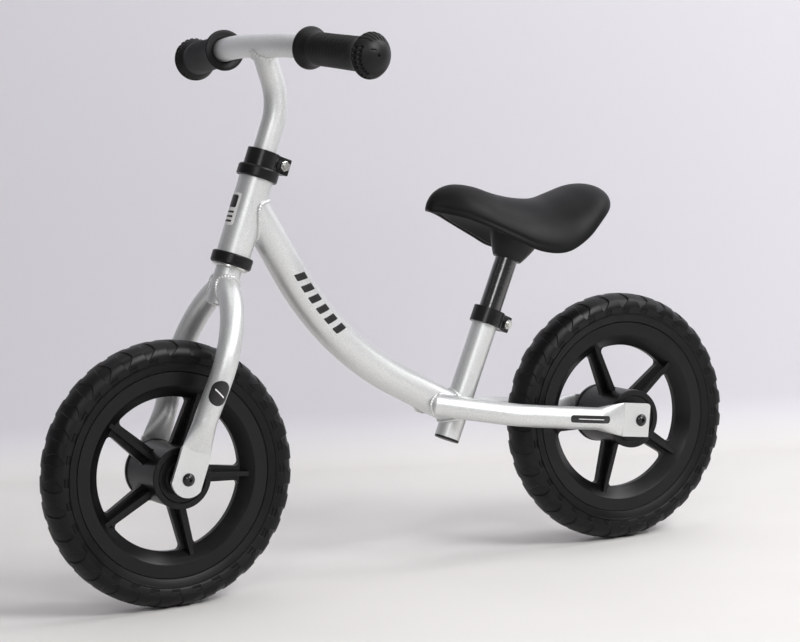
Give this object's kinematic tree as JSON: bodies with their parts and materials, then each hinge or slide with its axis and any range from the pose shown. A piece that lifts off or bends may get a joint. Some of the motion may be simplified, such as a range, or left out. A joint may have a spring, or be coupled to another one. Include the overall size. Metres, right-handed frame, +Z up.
{
  "type": "balance bike",
  "caption": "Child's balance bike with a bent single-tube frame, foam tyres on moulded spoked wheels, and a saddle and handlebar that slide for height.",
  "frame": {"origin": "on the floor, halfway between the two axles, in the bike's middle plane", "axes": "+X forward, +Y to the rider's left, +Z up"},
  "size_m": [0.855, 0.4478, 0.607],
  "materials": {
    "frame_paint": "silver metallic powder coat, satin",
    "black_coating": "black powder coat, satin",
    "post_coating": "black powder coat, fine gloss texture",
    "black_nylon": "black moulded nylon",
    "wheel_nylon": "black moulded nylon, satin",
    "tyre_foam": "black EVA foam",
    "grip_rubber": "black soft rubber",
    "seal_rubber": "dark moulded rubber",
    "saddle_cover": "black smooth artificial leather",
    "saddle_plastic": "black moulded plastic",
    "black_steel": "black oxide steel",
    "zinc": "bright zinc plating",
    "bearing_steel": "ground steel"
  },
  "bodies": {
    "frame": {"head_tube": "frame_paint", "main_tube": "frame_paint", "seat_tube": "frame_paint", "chainstay_left": "frame_paint", "chainstay_right": "frame_paint", "seat_tube_plug": "black_nylon", "upper_headset_bush": "black_nylon", "lower_headset_bush": "black_nylon", "seat_clamp_collar": "black_coating", "seat_clamp_bolt": "zinc", "seat_clamp_nut": "zinc", "rear_axle": "zinc", "rear_axle_bolts": "black_steel", "rear_axle_spacers": "black_steel", "rear_bearing_inner_races": "bearing_steel"},
    "rear_wheel": {"rear_tyre": "tyre_foam", "rear_wheel_moulding": "wheel_nylon", "rear_hub_covers": "wheel_nylon", "rear_bearing_outer_races": "bearing_steel", "rear_bearing_balls": "bearing_steel", "rear_bearing_seals": "seal_rubber"},
    "fork": {"steerer_tube": "frame_paint", "crown_race": "zinc", "fork_blade_left": "frame_paint", "fork_blade_right": "frame_paint", "stem_clamp_collar": "black_coating", "stem_clamp_bolt": "zinc", "stem_clamp_nut": "zinc", "front_axle": "zinc", "front_axle_bolts": "black_steel", "front_axle_spacers": "black_steel", "front_bearing_inner_races": "bearing_steel"},
    "front_wheel": {"front_tyre": "tyre_foam", "front_wheel_moulding": "wheel_nylon", "front_hub_covers": "wheel_nylon", "front_bearing_outer_races": "bearing_steel", "front_bearing_balls": "bearing_steel", "front_bearing_seals": "seal_rubber"},
    "handlebar": {"handlebar_stem": "frame_paint", "handlebar_crossbar": "frame_paint", "grip_left": "grip_rubber", "grip_right": "grip_rubber"},
    "seat": {"seat_post": "post_coating", "seat_post_insert": "zinc", "saddle_bolt": "zinc", "saddle_base": "saddle_plastic", "saddle_cushion": "saddle_cover"}
  },
  "joints": [
    {"name": "steering", "type": "hinge", "parent": "frame", "child": "fork", "pos_m": [0.285, 0, 0.1425], "axis": [-0.3697, 0, 0.9291], "continuous": true},
    {"name": "handlebar_height", "type": "slide", "parent": "fork", "child": "handlebar", "axis": [-0.3697, 0, 0.9291], "range_m": [-0.025, 0.05]},
    {"name": "front_wheel_spin", "type": "hinge", "parent": "fork", "child": "front_wheel", "pos_m": [0.285, 0, 0.1425], "axis": [0, 1, 0], "continuous": true},
    {"name": "rear_wheel_spin", "type": "hinge", "parent": "frame", "child": "rear_wheel", "pos_m": [-0.285, 0, 0.1425], "axis": [0, 1, 0], "continuous": true},
    {"name": "saddle_height", "type": "slide", "parent": "frame", "child": "seat", "axis": [-0.4099, 0, 0.9121], "range_m": [-0.05, 0.035]}
  ]
}
